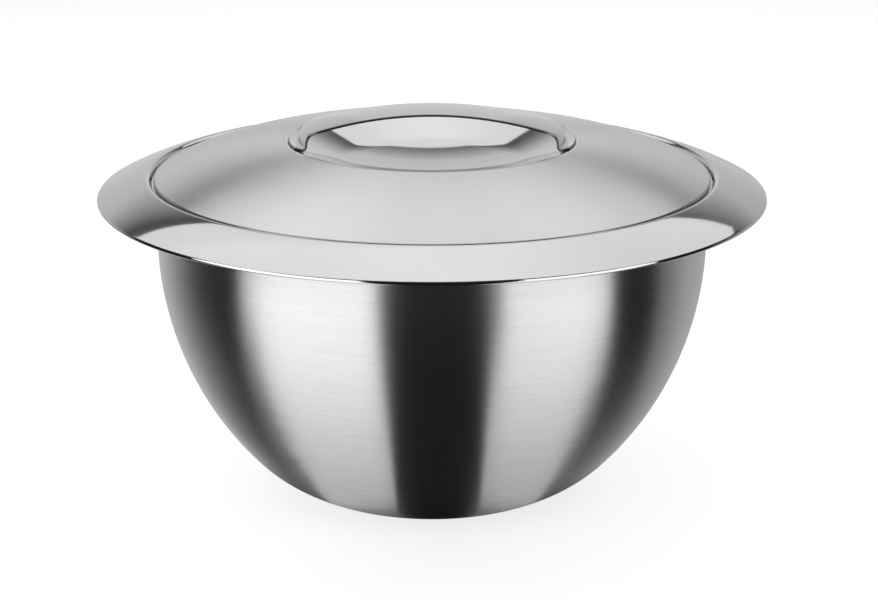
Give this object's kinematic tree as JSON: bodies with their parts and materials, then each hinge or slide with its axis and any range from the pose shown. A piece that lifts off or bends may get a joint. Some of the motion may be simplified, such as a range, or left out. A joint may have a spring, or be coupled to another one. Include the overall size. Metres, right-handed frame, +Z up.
{
  "type": "insulated serving bowl with lid",
  "caption": "Double-walled stainless steel serving bowl with a wide polished rim and a domed lift-off lid with a recessed strap handle.",
  "frame": {"origin": "on the table, under the middle of the base, on the bowl's axis", "axes": "+Z up along the bowl's and lid's axis; the strap handle runs along X"},
  "size_m": [0.294, 0.294, 0.173],
  "materials": {
    "satin_steel": "satin, brushed round the axis",
    "polished_steel": "mirror polished stainless steel",
    "pan_steel": "mill finish",
    "foam": "rigid foam",
    "plug_plastic": "moulded",
    "seal_silicone": "translucent silicone"
  },
  "bodies": {
    "bowl": {"outer_shell": "satin_steel", "inner_bowl": "polished_steel", "bowl_insulation": "foam", "fill_plug": "plug_plastic", "base_disc": "satin_steel"},
    "lid": {"lid_top": "satin_steel", "lid_pan": "pan_steel", "lid_insulation": "foam", "lid_seal": "seal_silicone", "handle_strap": "polished_steel", "strap_doublers": "pan_steel"}
  },
  "joints": [
    {"name": "lid_lift", "type": "slide", "parent": "bowl", "child": "lid", "axis": [0, 0, 1], "range_m": [0, 0.08]}
  ]
}
